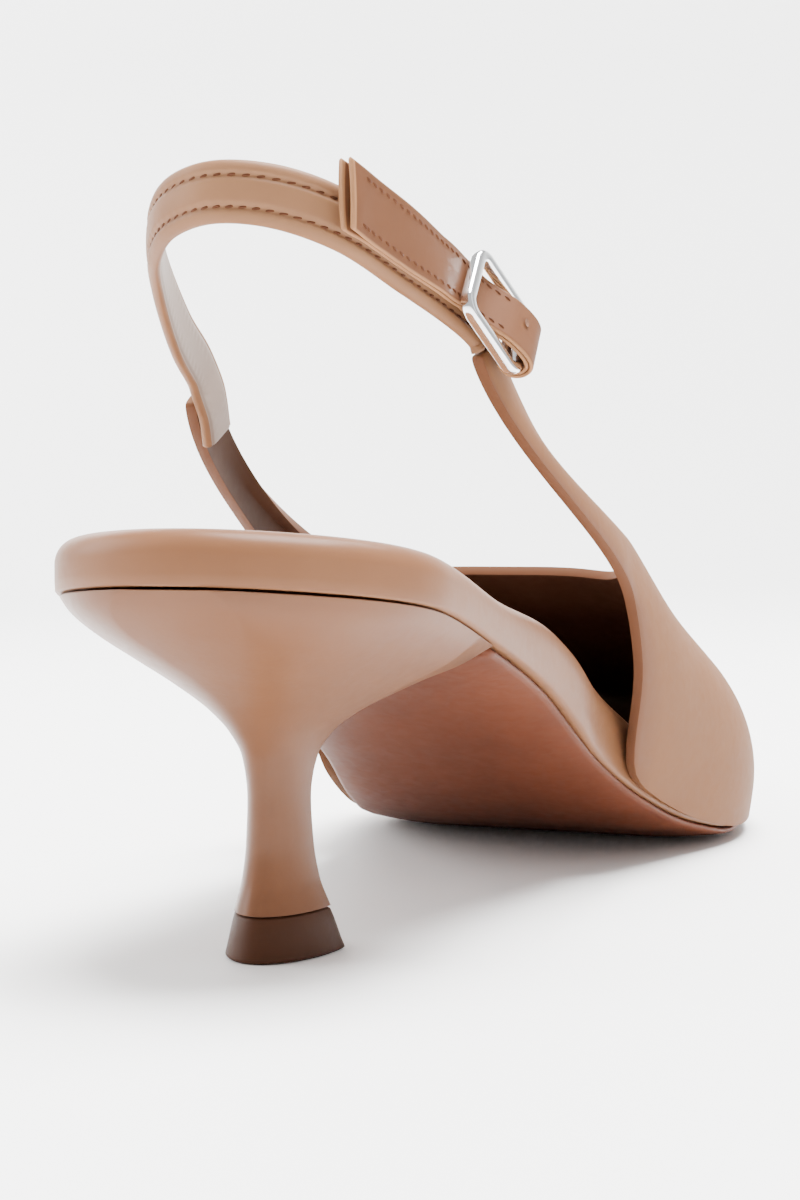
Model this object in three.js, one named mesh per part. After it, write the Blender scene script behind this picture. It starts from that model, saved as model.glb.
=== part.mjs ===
// Slingback pump for the right foot, size about 38, standing on its sole.
// Millimetres. +Y points to the toe, +X to the outer side of the foot, +Z up.
// The floor is z = 0. While it is modelled, y = 0 is the back of the footbed.
import * as THREE from 'three';
import { mergeVertices } from 'three/addons/utils/BufferGeometryUtils.js';

// Driving dimensions of the last and the sole
const LENGTH = 255;
const BALL_WIDTH = 80;
const SEAT_WIDTH = 58;
const WAIST_WIDTH = 55;
const HEEL_HEIGHT = 54;
const INSTEP = 54;
const SOLE_THICKNESS = 2.8;
const SEAT_BAND = 7.6;
const WAIST_BAND = 13;
const INSOLE_THICKNESS = 3.2;
const BAND_ROUNDING = 3;
const WALL = 1.8;
const LIP = 1;
const CLEARANCE = 0.3;

// Driving dimensions of the heel
const TOP_PIECE_HEIGHT = 6.5;
const TOP_PIECE_WIDTH = 16.6;
const HEEL_REACH = 51;
const BREAST_DEPTH = 9;
const BREAST_GAP = 1.3;

// Driving dimensions of the straps and the buckle
const STRAP_WIDTH = 8.6;
const STRAP_THICKNESS = 2.4;
const TAIL_THICKNESS = 1.4;
const TAIL_WIDTH = 8;
const BUCKLE_LENGTH = 16;
const BUCKLE_WIDTH = 14.5;
const BUCKLE_WIRE = 2;

const RIM_STEPS = 72;
const TOE_ROUNDING = 10;
const HEEL_ROUNDING = 29;
const CUT_PLACE = 0.45 * LENGTH;
const TUCK_LENGTH = 22;
const SEAT_DISH = 1.2;
const MIDDLE_PULL = 16;
const RIDGE_LEAN = -0.035 * BALL_WIDTH;
const SOLE_SET_BACK = 1.6;
const BALL_SET_BACK = 0.7;
const BREAST_ROUNDING = 0.45;
const BUCKLE_CORNER = 2.2;
const STRAP_CROWN = 1.6;

// Rows of shares: at is a share of the length, half of the named width,
// centre of the ball width.
const OUTLINE = [
  { at: 0.0, half: 0.5 * SEAT_WIDTH, centre: 0 },
  { at: 0.12, half: 0.5 * SEAT_WIDTH, centre: 0 },
  { at: 0.2, half: 0.49 * SEAT_WIDTH, centre: 0 },
  { at: 0.31, half: 0.5 * WAIST_WIDTH, centre: 0.005 },
  { at: 0.4, half: 0.505 * WAIST_WIDTH, centre: 0.01 },
  { at: 0.52, half: 0.41 * BALL_WIDTH, centre: 0.005 },
  { at: 0.66, half: 0.49 * BALL_WIDTH, centre: 0 },
  { at: 0.72, half: 0.475 * BALL_WIDTH, centre: -0.01 },
  { at: 0.82, half: 0.37 * BALL_WIDTH, centre: -0.035 },
  { at: 0.92, half: 0.23 * BALL_WIDTH, centre: -0.06 },
  { at: 1.0, half: 0.125 * BALL_WIDTH, centre: -0.08 },
];

// rise is a share of the heel height, down to the sole's thickness at the ball.
const PROFILE = [
  { at: 0.0, rise: 1.0 },
  { at: 0.1, rise: 0.938 },
  { at: 0.2, rise: 0.818 },
  { at: 0.3, rise: 0.67 },
  { at: 0.4, rise: 0.425 },
  { at: 0.5, rise: 0.185 },
  { at: 0.58, rise: 0.055 },
  { at: 0.65, rise: 0.0 },
  { at: 0.76, rise: 0.0 },
  { at: 0.9, rise: 0.035 },
  { at: 1.0, rise: 0.11 },
];

// The vamp over the footbed: height as a share of the instep, side as the extra half
// width over the outline, as a share of the ball width, round as how soft its section is.
const VAMP = [
  { at: 0.4, height: 1.1, side: 0.075, round: 0.55 },
  { at: 0.48, height: 1.0, side: 0.07, round: 0.56 },
  { at: 0.56, height: 0.9, side: 0.055, round: 0.59 },
  { at: 0.66, height: 0.79, side: 0.038, round: 0.66 },
  { at: 0.76, height: 0.62, side: 0.028, round: 0.73 },
  { at: 0.86, height: 0.465, side: 0.018, round: 0.79 },
  { at: 0.94, height: 0.345, side: 0.012, round: 0.82 },
  { at: 1.0, height: 0.25, side: 0.01, round: 0.82 },
];

// The rear edge of the vamp: across goes from the ridge, 0, to the sole edge, 1.
const THROAT = [
  { across: 0.0, at: 0.565 },
  { across: 0.2, at: 0.56 },
  { across: 0.38, at: 0.525 },
  { across: 0.55, at: 0.464 },
  { across: 0.7, at: 0.43 },
  { across: 0.833, at: 0.42 },
  { across: 0.92, at: 0.438 },
  { across: 1.0, at: 0.447 },
];

// Sections of the heel. rise is a share of the heel height, rear and front are shares
// of the heel's reach, half is a share of half the seat width, seat is how far the
// section takes the footbed's outline.
const HEEL = [
  { rise: 0.12, rear: 0.512, front: 0.755, half: 0.23, seat: 0 },
  { rise: 0.2, rear: 0.54, front: 0.733, half: 0.187, seat: 0 },
  { rise: 0.3, rear: 0.555, front: 0.722, half: 0.162, seat: 0 },
  { rise: 0.42, rear: 0.555, front: 0.72, half: 0.15, seat: 0 },
  { rise: 0.54, rear: 0.534, front: 0.733, half: 0.178, seat: 0 },
  { rise: 0.62, rear: 0.485, front: 0.755, half: 0.24, seat: 0.02 },
  { rise: 0.69, rear: 0.42, front: 0.785, half: 0.35, seat: 0.06 },
  { rise: 0.76, rear: 0.325, front: 0.83, half: 0.5, seat: 0.15 },
  { rise: 0.83, rear: 0.215, front: 0.88, half: 0.66, seat: 0.32 },
  { rise: 0.9, rear: 0.112, front: 0.94, half: 0.82, seat: 0.58 },
  { rise: 0.96, rear: 0.042, front: 0.965, half: 0.935, seat: 0.84 },
  { rise: 1.0, rear: 0.013, front: 1.0, half: 0.985, seat: 1 },
];

// The sling's middle line between the ends of the ears, round the heel: x as a
// share of half the seat width, y as a share of the length, z as a share of the heel height.
const SLING_PATH = [
  { x: -0.834, y: 0.198, z: 1.707 },
  { x: -0.703, y: 0.144, z: 1.852 },
  { x: -0.51, y: 0.1, z: 1.926 },
  { x: -0.276, y: 0.072, z: 1.969 },
  { x: 0.0, y: 0.06, z: 1.985 },
  { x: 0.28, y: 0.067, z: 1.969 },
  { x: 0.521, y: 0.09, z: 1.92 },
  { x: 0.67, y: 0.137, z: 1.833 },
  { x: 0.735, y: 0.178, z: 1.775 },
];

// Ends of the two ears: the middle of the end, the way the ear runs there and the
// direction of its width.
const EARS = [
  {
    side: 1,
    end: { x: 0.85, y: 0.214, z: 1.645 },
    run: new THREE.Vector3(-0.17, -0.42, 0.89),
    across: new THREE.Vector3(0.08, -0.8, -0.6),
    reach: 62,
  },
  {
    side: -1,
    end: { x: -0.931, y: 0.243, z: 1.556 },
    run: new THREE.Vector3(0.16, -0.52, 0.84),
    across: new THREE.Vector3(-0.05, -0.74, -0.66),
    reach: 58,
  },
];

// Values at a place between the rows of a table, on a smooth curve that keeps its order.
function lookUp(rows, key, column, value) {
  const last = rows.length - 1;
  const place = Math.min(Math.max(value, rows[0][key]), rows[last][key]);
  let row = 0;
  while (row < last - 1 && place > rows[row + 1][key]) {
    row += 1;
  }
  const slope = (index) => {
    const first = Math.min(Math.max(index, 0), last - 1);
    return (rows[first + 1][column] - rows[first][column]) / (rows[first + 1][key] - rows[first][key]);
  };
  const tangent = (index) => {
    const before = slope(index - 1);
    const after = slope(index);
    if (index === 0 || index === last) {
      return index === 0 ? after : before;
    }
    return before * after <= 0 ? 0 : (2 * before * after) / (before + after);
  };
  const span = rows[row + 1][key] - rows[row][key];
  const t = (place - rows[row][key]) / span;
  const rest = 1 - t;
  return rows[row][column] * (1 + 2 * t) * rest * rest
    + tangent(row) * span * t * rest * rest
    + rows[row + 1][column] * (3 - 2 * t) * t * t
    - tangent(row + 1) * span * rest * t * t;
}

function smoothStep(from, to, value) {
  const t = Math.min(Math.max((value - from) / (to - from), 0), 1);
  return t * t * (3 - 2 * t);
}

// Share of the full width left near a round end, as on a circle.
function endRound(distance, rounding) {
  const left = 1 - Math.min(Math.max(distance / rounding, 0), 1);
  return Math.sqrt(1 - left * left);
}

function centreLine(y) {
  return BALL_WIDTH * lookUp(OUTLINE, 'at', 'centre', y / LENGTH);
}

// Half width of the footbed's outline, drawn in by an inset at the sides and the toe.
function halfWidth(y, inset, toe) {
  const full = lookUp(OUTLINE, 'at', 'half', y / LENGTH) - inset;
  return full * endRound(y, HEEL_ROUNDING) * endRound(toe - y, TOE_ROUNDING);
}

// Height of the footbed's underside over the floor.
function bedHeight(y) {
  return SOLE_THICKNESS + (HEEL_HEIGHT - SOLE_THICKNESS) * lookUp(PROFILE, 'at', 'rise', y / LENGTH);
}

// A closed solid from rings of equal length. A ring that falls together on a line or a
// point closes its end by itself, and the ends named here get a fan round their middle.
function solidFromRings(rings, { startFan = false, endFan = false }) {
  const points = [];
  const faces = [];
  const count = rings[0].length;
  rings.forEach((ring) => points.push(...ring));
  for (let r = 0; r + 1 < rings.length; r += 1) {
    for (let i = 0; i < count; i += 1) {
      const a = r * count + i;
      const b = r * count + (i + 1) % count;
      faces.push([a, b, b + count], [a, b + count, a + count]);
    }
  }
  const fans = [...(startFan ? [0] : []), ...(endFan ? [rings.length - 1] : [])];
  fans.forEach((r) => {
    const middle = rings[r].reduce((sum, point) => sum.add(point), new THREE.Vector3());
    points.push(middle.divideScalar(count));
    for (let i = 0; i < count; i += 1) {
      const pair = [r * count + i, r * count + (i + 1) % count];
      faces.push(r === 0 ? [pair[1], pair[0], points.length - 1] : [...pair, points.length - 1]);
    }
  });
  return geometryFrom(points, faces);
}

// A geometry with shared vertices, no empty triangles and its faces pointing out.
function geometryFrom(points, faces) {
  const raw = new THREE.BufferGeometry();
  raw.setAttribute('position', new THREE.Float32BufferAttribute(points.flatMap((p) => p.toArray()), 3));
  raw.setIndex(faces.flat());
  const merged = mergeVertices(raw, 1e-3);
  const place = (index) => new THREE.Vector3().fromBufferAttribute(merged.attributes.position, index);
  const kept = [];
  let volume = 0;
  for (let i = 0; i < merged.index.count; i += 3) {
    const [a, b, c] = [0, 1, 2].map((k) => merged.index.getX(i + k));
    if (a !== b && b !== c && c !== a) {
      kept.push(a, b, c);
      volume += place(a).dot(place(b).cross(place(c)));
    }
  }
  merged.setIndex(volume < 0 ? kept.reverse() : kept);
  return merged;
}

// One turn round a plan outline, from the heel along the outer side to the toe and back.
// A shrunk ring is drawn in to the middle line, and at both ends by the pull.
function outlineRing(start, toe, inset, shrink, height, pull = 0) {
  const ring = [];
  for (let i = 0; i < RIM_STEPS; i += 1) {
    const turn = (2 * Math.PI * i) / RIM_STEPS;
    const pulled = pull * Math.cos(turn);
    const y = start + ((toe - start) * (1 - Math.cos(turn))) / 2 + pulled;
    const half = halfWidth(y, inset(y), toe) * shrink;
    const side = Math.sign(Math.round(Math.sin(turn) * 1e6));
    ring.push(new THREE.Vector3(centreLine(y) + side * half, y, height(y, shrink)));
  }
  return ring;
}

// The footbed: a leather wrapped board. Its full edge shows from the heel to the vamp,
// and from there on it is a thin insole between the walls of the upper.
function footbedGeometry() {
  const toe = LENGTH - WALL - CLEARANCE;
  const tucked = (y) => smoothStep(CUT_PLACE - TUCK_LENGTH, CUT_PLACE - BAND_ROUNDING, y);
  const sideInset = (y) => tucked(y) * (WALL - LIP + CLEARANCE) + smoothStep(0.6 * LENGTH, LENGTH, y) * LIP;
  const thickness = (y) => {
    const band = SEAT_BAND + (WAIST_BAND - SEAT_BAND) * smoothStep(0.2 * LENGTH, 0.4 * LENGTH, y);
    return band + (INSOLE_THICKNESS - band) * smoothStep(0.47 * LENGTH, 0.62 * LENGTH, y);
  };
  const edge = [
    { inset: 0.8, up: 0 },
    { inset: 0.2, up: 0.12 },
    { inset: 0, up: 0.4 },
    { inset: 0.1, up: 0.66 },
    { inset: 0.45, up: 0.86 },
    { inset: 1.0, up: 0.98 },
  ];
  const rings = [outlineRing(0, toe, sideInset, 0, bedHeight)];
  edge.forEach(({ inset, up }) => {
    const drawn = (y) => sideInset(y) + inset * BAND_ROUNDING * Math.min(1, thickness(y) / SEAT_BAND);
    rings.push(outlineRing(0, toe, drawn, 1, (y) => bedHeight(y) + up * thickness(y)));
  });
  [0.8, 0.5, 0].forEach((shrink) => {
    const dish = SEAT_DISH * (1 - shrink * shrink);
    const drawn = (y) => sideInset(y) + BAND_ROUNDING;
    const sunken = (y) => bedHeight(y) + thickness(y) - dish;
    rings.push(outlineRing(0, toe, drawn, shrink, sunken, (1 - shrink) * MIDDLE_PULL));
  });
  // The rim falls in behind the seat as well, so its rings are drawn in from the back.
  const insets = [edge[0].inset, ...edge.map(({ inset }) => inset), 1, 1, 1];
  rings.forEach((ring, r) => ring.forEach((point) => {
    point.y += insets[r] * BAND_ROUNDING * (1 - smoothStep(0, HEEL_ROUNDING, point.y));
  }));
  return solidFromRings(rings, {});
}

// The thin outsole from the breast of the heel to the toe, flat on the floor under the ball.
function outsoleGeometry() {
  const start = HEEL_REACH - BREAST_DEPTH + BREAST_GAP;
  const toe = LENGTH - 0.6;
  const top = (y) => bedHeight(y) - CLEARANCE;
  const bottom = (y) => bedHeight(y) - SOLE_THICKNESS;
  const steps = RIM_STEPS / 2;
  const section = [
    { across: -1, inset: 0.3, high: 1 },
    { across: -1, inset: 0, high: 0.8 },
    { across: -1, inset: 0.8, high: 0.5 },
    { across: -0.6, inset: 0, high: 0 },
    { across: 0.6, inset: 0, high: 0 },
    { across: 1, inset: 0.8, high: 0.5 },
    { across: 1, inset: 0, high: 0.8 },
    { across: 1, inset: 0.3, high: 1 },
    { across: 0.4, inset: 0, high: 1 },
    { across: -0.4, inset: 0, high: 1 },
  ];
  const rings = [];
  for (let i = 0; i <= steps; i += 1) {
    const along = Math.sin((Math.PI / 2) * (i / steps));
    rings.push(section.map(({ across, inset, high }) => {
      const bow = BREAST_DEPTH * across * across * (1 - along);
      const y = start + bow + (toe - start - bow) * along;
      const forward = smoothStep(0.4 * LENGTH, 0.6 * LENGTH, y);
      const drawn = SOLE_SET_BACK + (BALL_SET_BACK - SOLE_SET_BACK) * forward;
      const half = halfWidth(y, drawn + inset, toe);
      return new THREE.Vector3(centreLine(y) + across * half, y, bottom(y) + high * (top(y) - bottom(y)));
    }));
  }
  return solidFromRings(rings, { startFan: true });
}

// One section of the heel: round at the back, bowed in at the breast.
function heelRing(row) {
  const backSteps = 28;
  const frontSteps = 8;
  const rear = row.rear * HEEL_REACH;
  const front = row.front * HEEL_REACH;
  const halfSeat = 0.5 * SEAT_WIDTH;
  const fullness = 2 + 1.2 * row.seat;
  const bow = BREAST_DEPTH * row.seat;
  const level = row.rise * HEEL_HEIGHT;
  const settled = Math.max(0, 2 * row.rise - 1);
  const seatPoint = (x, y) => (
    new THREE.Vector3(x, y, level + (bedHeight(y) - CLEARANCE - HEEL_HEIGHT) * settled));
  const corner = (t) => {
    const y = front - (front - rear) * Math.cos(t) ** (2 / fullness);
    const own = row.half * halfSeat * Math.abs(Math.sin(t));
    const along = halfWidth(y, 0.9, LENGTH) * row.half;
    const half = own + (along - own) * row.seat;
    return { y, half };
  };
  const ring = [];
  for (let i = 0; i <= backSteps; i += 1) {
    const t = -Math.PI / 2 + (Math.PI * i) / backSteps;
    const { y, half } = corner(Math.abs(t));
    ring.push(seatPoint(Math.sign(t) * half + centreLine(y) * row.seat, y));
  }
  const side = corner(Math.PI / 2).half;
  for (let i = 1; i < frontSteps; i += 1) {
    const across = 1 - (2 * i) / frontSteps;
    const round = (1 - row.seat) ** 2 * row.half * halfSeat * BREAST_ROUNDING;
    const y = front + (round - bow) * (1 - across * across);
    ring.push(seatPoint(across * side + centreLine(y) * row.seat, y));
  }
  return ring;
}

// The heel, closed under the footbed by a ring drawn together on its middle line.
function heelGeometry() {
  const rings = HEEL.map((row) => heelRing(row));
  const inside = HEEL_REACH - 2 * BREAST_DEPTH;
  rings.push(rings[rings.length - 1].map((point) => {
    const y = Math.min(point.y, inside);
    return new THREE.Vector3(centreLine(y), y, bedHeight(y) - CLEARANCE);
  }));
  return solidFromRings(rings, { startFan: true });
}

// The top piece under the stem: it widens to the floor like the foot of the heel.
function topPieceGeometry() {
  const foot = HEEL[0];
  const flare = (0.5 * TOP_PIECE_WIDTH) / (foot.half * 0.5 * SEAT_WIDTH);
  const middle = 0.5 * (foot.rear + foot.front) * HEEL_REACH;
  const seam = heelRing(foot);
  const rows = [
    { share: 1, up: TOP_PIECE_HEIGHT - CLEARANCE },
    { share: 0.5, up: 0.5 * TOP_PIECE_HEIGHT },
    { share: 0.06, up: 0.5 },
    { share: 0, up: 0 },
  ];
  return solidFromRings(rows.map(({ share, up }) => seam.map((point) => {
    const wide = 1 + (flare - 1) * (1 - share) - (up === 0 ? 0.04 : 0);
    return new THREE.Vector3(point.x * wide, middle + (point.y - middle) * wide, up);
  })), { startFan: true, endFan: true });
}

// A point of the vamp's skin. across goes from the inner sole edge, -1, over the ridge
// to the outer one, 1. The inset gives the inner face of the wall.
function vampPoint(y, across, inset) {
  const toe = LENGTH - inset + LIP;
  const reach = Math.min(y, toe);
  const place = reach / LENGTH;
  const turn = (Math.abs(across) * Math.PI) / 2;
  const nose = endRound(toe - reach, TOE_ROUNDING);
  const side = BALL_WIDTH * lookUp(VAMP, 'at', 'side', place);
  const high = (INSTEP * lookUp(VAMP, 'at', 'height', place) - inset) * nose;
  const base = lookUp(OUTLINE, 'at', 'half', Math.min(place, 1)) + LIP - inset;
  const round = lookUp(VAMP, 'at', 'round', place);
  const lean = 1 - Math.cos(turn) ** round;
  const half = (base + side * (1 - lean ** 4)) * nose;
  const ridge = RIDGE_LEAN * Math.cos(turn) * nose;
  return new THREE.Vector3(
    centreLine(reach) + Math.sign(across) * half * Math.sin(turn) ** round + ridge,
    reach,
    bedHeight(reach) + high * Math.cos(turn) ** round,
  );
}

// A strap end as points across its width, on the outer or the inner face.
function earEnd(ear, steps, inset) {
  const run = ear.run.clone().normalize();
  const across = ear.across.clone().addScaledVector(run, -ear.across.dot(run)).normalize();
  const outward = new THREE.Vector3().crossVectors(run, across).multiplyScalar(ear.side);
  const middle = pathPoint(ear.end);
  const points = [];
  for (let i = 0; i <= steps; i += 1) {
    const share = i / steps - 0.5;
    const crown = 0.5 - STRAP_CROWN * share * share;
    points.push(middle.clone()
      .addScaledVector(across, share * STRAP_WIDTH)
      .addScaledVector(outward, 0.5 * STRAP_THICKNESS - inset + (inset > 0 ? 0 : crown - 0.5)));
  }
  return points;
}

function pathPoint({ x, y, z }) {
  return new THREE.Vector3(x * 0.5 * SEAT_WIDTH, y * LENGTH, z * HEEL_HEIGHT);
}

// Both faces of the upper as one list of points: the vamp's grid, then the two ears,
// which leave its rear edge and narrow into straps.
function upperFace(inset) {
  const columns = 36;
  const rows = 22;
  const earRows = 14;
  const earColumns = 8;
  const earFirst = 7;
  const points = [];
  const faces = [];
  const addQuad = (a, b, c, d) => faces.push([a, b, c], [a, c, d]);
  const vampIndex = (row, column) => row * (columns + 1) + column;
  const across = (column) => (2 * column) / columns - 1;
  for (let row = 0; row <= rows; row += 1) {
    for (let column = 0; column <= columns; column += 1) {
      const rear = LENGTH * lookUp(THROAT, 'across', 'at', Math.abs(across(column)));
      const along = 1 - (1 - row / rows) ** 1.8;
      const toe = LENGTH - inset + LIP;
      points.push(vampPoint(rear + (toe - rear) * along, across(column), inset));
    }
  }
  for (let row = 0; row < rows; row += 1) {
    for (let column = 0; column < columns; column += 1) {
      addQuad(vampIndex(row, column), vampIndex(row, column + 1),
        vampIndex(row + 1, column + 1), vampIndex(row + 1, column));
    }
  }
  EARS.forEach((ear) => {
    const firstColumn = columns / 2 + ear.side * earFirst;
    const ends = earEnd(ear, earColumns, inset > 0 ? STRAP_THICKNESS : 0);
    const run = ear.run.clone().normalize().multiplyScalar(ear.reach * 0.8);
    const start = points.length;
    const earIndex = (row, column) => (row === 0
      ? vampIndex(0, firstColumn + ear.side * column)
      : start + (row - 1) * (earColumns + 1) + column);
    for (let row = 1; row <= earRows; row += 1) {
      for (let column = 0; column <= earColumns; column += 1) {
        const share = column / earColumns;
        const from = points[vampIndex(0, firstColumn + ear.side * column)];
        const turned = share ** 2;
        const leave = new THREE.Vector3(0, -1 + 0.5 * turned, 0.18 + 0.62 * turned)
          .multiplyScalar(ear.reach * (1.05 - 0.4 * share));
        points.push(hermite(from, leave, ends[column], run, row / earRows));
      }
    }
    for (let row = 0; row < earRows; row += 1) {
      for (let column = 0; column < earColumns; column += 1) {
        const quad = [earIndex(row, column), earIndex(row + 1, column),
          earIndex(row + 1, column + 1), earIndex(row, column + 1)];
        addQuad(...(ear.side > 0 ? quad.reverse() : quad).reverse());
      }
    }
  });
  return { points, faces };
}

// A point at t on the curve that leaves and reaches its ends in the given directions.
function hermite(from, leave, to, arrive, t) {
  const rest = 1 - t;
  return new THREE.Vector3()
    .addScaledVector(from, (1 + 2 * t) * rest * rest)
    .addScaledVector(leave, t * rest * rest)
    .addScaledVector(to, (3 - 2 * t) * t * t)
    .addScaledVector(arrive, -rest * t * t);
}

// The hollow upper: its outer and inner face, joined along every free edge.
function upperGeometry() {
  const outer = upperFace(0);
  const inner = upperFace(WALL);
  const shift = outer.points.length;
  const sameAs = new Map();
  const unique = outer.points.map((point, index) => {
    const key = point.toArray().map((value) => value.toFixed(3)).join();
    if (!sameAs.has(key)) {
      sameAs.set(key, index);
    }
    return sameAs.get(key);
  });
  const skin = outer.faces.map((face) => face.map((index) => unique[index]))
    .filter(([a, b, c]) => a !== b && b !== c && c !== a);
  const faces = skin.concat(skin.map(([a, b, c]) => [c + shift, b + shift, a + shift]));
  const used = new Set(skin.flatMap(([a, b, c]) => [`${a},${b}`, `${b},${c}`, `${c},${a}`]));
  used.forEach((edge) => {
    const [a, b] = edge.split(',').map(Number);
    if (!used.has(`${b},${a}`)) {
      faces.push([b, a, a + shift], [b, a + shift, b + shift]);
    }
  });
  return geometryFrom(outer.points.concat(inner.points), faces);
}

// A flat band along a path. Its section is a rounded box, turned so that its width
// lies along the given direction.
function bandGeometry(path, steps, width, thickness, widthAt) {
  const section = [
    [-0.5, 0], [-0.46, 0.32], [-0.3, 0.5], [0, 0.56], [0.3, 0.5], [0.46, 0.32],
    [0.5, 0], [0.46, -0.32], [0.3, -0.5], [-0.3, -0.5], [-0.46, -0.32],
  ];
  const rings = [];
  for (let i = 0; i <= steps; i += 1) {
    const t = i / steps;
    const run = path.getTangentAt(t);
    const across = widthAt(t).clone();
    across.addScaledVector(run, -across.dot(run)).normalize();
    const out = new THREE.Vector3().crossVectors(across, run).normalize();
    const middle = path.getPointAt(t);
    rings.push(section.map(([w, n]) => middle.clone()
      .addScaledVector(across, w * width)
      .addScaledVector(out, n * thickness)));
  }
  return solidFromRings(rings, { startFan: true, endFan: true });
}

// The sling's line: it meets the end of each ear face to face and starts in its direction.
function slingCurve() {
  const leave = EARS.map((ear) => [CLEARANCE, 0.3 * STRAP_WIDTH].map((gap) => (
    pathPoint(ear.end).addScaledVector(ear.run.clone().normalize(), gap))));
  const middle = SLING_PATH.map((row) => pathPoint(row));
  return new THREE.CatmullRomCurve3([...leave[1], ...middle, ...leave[0].reverse()], false, 'centripetal');
}

// The sling strap round the heel, from the inner ear to the one at the buckle.
function slingGeometry() {
  return bandGeometry(slingCurve(), 60, STRAP_WIDTH, STRAP_THICKNESS, slingAcross);
}

// The direction of the sling's width: upright behind the heel, and as the ears have it
// at its two ends.
function slingAcross(t) {
  const upright = new THREE.Vector3(0, 0, 1);
  const inner = EARS[1].across.clone().negate();
  const outer = EARS[0].across.clone().negate();
  return inner.lerp(upright, smoothStep(0, 0.3, t)).lerp(outer, smoothStep(0.7, 1, t));
}

// The buckle's own directions: along the strap to the toe, up its bars, and outward.
const BUCKLE = {
  middle: pathPoint({ x: 0.955, y: 0.203, z: 1.735 }),
  along: new THREE.Vector3(0.27, 0.71, -0.65).normalize(),
  up: new THREE.Vector3(-0.08, 0.69, 0.72).normalize(),
};
BUCKLE.out = new THREE.Vector3().crossVectors(BUCKLE.along, BUCKLE.up).normalize();

function onBuckle(along, up, out) {
  return BUCKLE.middle.clone()
    .addScaledVector(BUCKLE.along, along)
    .addScaledVector(BUCKLE.up, up)
    .addScaledVector(BUCKLE.out, out);
}

// The wire frame of the buckle, a rectangle with rounded corners.
function buckleGeometry() {
  const halfLength = 0.5 * (BUCKLE_LENGTH - BUCKLE_WIRE);
  const halfWidthUp = 0.5 * (BUCKLE_WIDTH - BUCKLE_WIRE);
  const round = BUCKLE_CORNER;
  const cornerSteps = 4;
  const ringSteps = 8;
  const rings = [];
  for (let corner = 0; corner < 4; corner += 1) {
    for (let i = 0; i <= cornerSteps; i += 1) {
      const turn = (Math.PI / 2) * (corner + i / cornerSteps);
      const quarter = (Math.PI / 2) * (corner + 0.5);
      const along = Math.sign(Math.cos(quarter)) * (halfLength - round) + round * Math.cos(turn);
      const up = Math.sign(Math.sin(quarter)) * (halfWidthUp - round) + round * Math.sin(turn);
      const ring = [];
      for (let k = 0; k < ringSteps; k += 1) {
        const roll = (2 * Math.PI * k) / ringSteps;
        const wide = 0.5 * BUCKLE_WIRE * Math.cos(roll);
        ring.push(onBuckle(along + wide * Math.cos(turn), up + wide * Math.sin(turn),
          0.5 * BUCKLE_WIRE * Math.sin(roll)));
      }
      rings.push(ring);
    }
  }
  rings.push(rings[0]);
  return solidFromRings(rings, {});
}

// The strap's turn round the front bar and its tail, which runs back under the rear bar
// and stands off the sling with its free end.
function tailGeometry() {
  const bar = 0.5 * (BUCKLE_LENGTH - BUCKLE_WIRE);
  const step = 0.5 * (BUCKLE_WIRE + TAIL_THICKNESS) + CLEARANCE;
  const loop = bar + step;
  const end = slingCurve().getPointAt(0.668).add(new THREE.Vector3(3.9, -4.4, 2.4));
  const near = onBuckle(-bar, 0, -step);
  const free = (share) => near.clone().lerp(end, share).add(new THREE.Vector3(0.5, -0.6, 0)
    .multiplyScalar(4 * share * (1 - share)));
  const path = new THREE.CatmullRomCurve3([
    onBuckle(bar - 1, 0, -step),
    onBuckle(bar, 0, -step),
    onBuckle(bar + 0.72 * step, 0, -0.72 * step),
    onBuckle(loop, 0, 0),
    onBuckle(bar + 0.72 * step, 0, 0.72 * step),
    onBuckle(bar, 0, step),
    onBuckle(bar - 4, 0, 0.72 * step),
    onBuckle(-bar + 4, 0, -0.6 * step),
    near,
    free(0.2),
    free(0.5),
    free(0.8),
    end,
  ], false, 'centripetal');
  const upright = new THREE.Vector3(0, 0, 1);
  const widthAt = (t) => BUCKLE.up.clone().lerp(upright, smoothStep(0.45, 0.75, t));
  return bandGeometry(path, 64, TAIL_WIDTH, TAIL_THICKNESS, widthAt);
}

const LEATHER = { color: 0xb8937a, roughness: 0.45 };
const PIECES = [
  ['upper', upperGeometry, LEATHER],
  ['footbed', footbedGeometry, { color: 0xbb9479, roughness: 0.45 }],
  ['outsole', outsoleGeometry, { color: 0x9a6a52, roughness: 0.5 }],
  ['heel', heelGeometry, { color: 0xb58f76, roughness: 0.35 }],
  ['top_piece', topPieceGeometry, { color: 0x5c3d28, roughness: 0.6 }],
  ['sling_strap', slingGeometry, LEATHER],
  ['strap_tail', tailGeometry, { color: 0xbd9880, roughness: 0.5 }],
  ['buckle', buckleGeometry, { color: 0xd8dadd, roughness: 0.12, metalness: 1 }],
];

const shoe = new THREE.Group();
PIECES.forEach(([name, shape, finish]) => {
  const mesh = new THREE.Mesh(shape(), new THREE.MeshStandardMaterial(finish));
  mesh.name = name;
  shoe.add(mesh);
});

// The origin goes to the middle of the shoe's footprint on the floor.
const box = new THREE.Box3().setFromObject(shoe);
shoe.position.set(-0.5 * (box.min.x + box.max.x), -0.5 * (box.min.y + box.max.y), -box.min.z);

export default shoe;
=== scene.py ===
"""A nude leather slingback pump for the right foot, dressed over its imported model."""

import bmesh
import bpy
import numpy as np
from mathutils import Matrix, Vector


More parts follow.
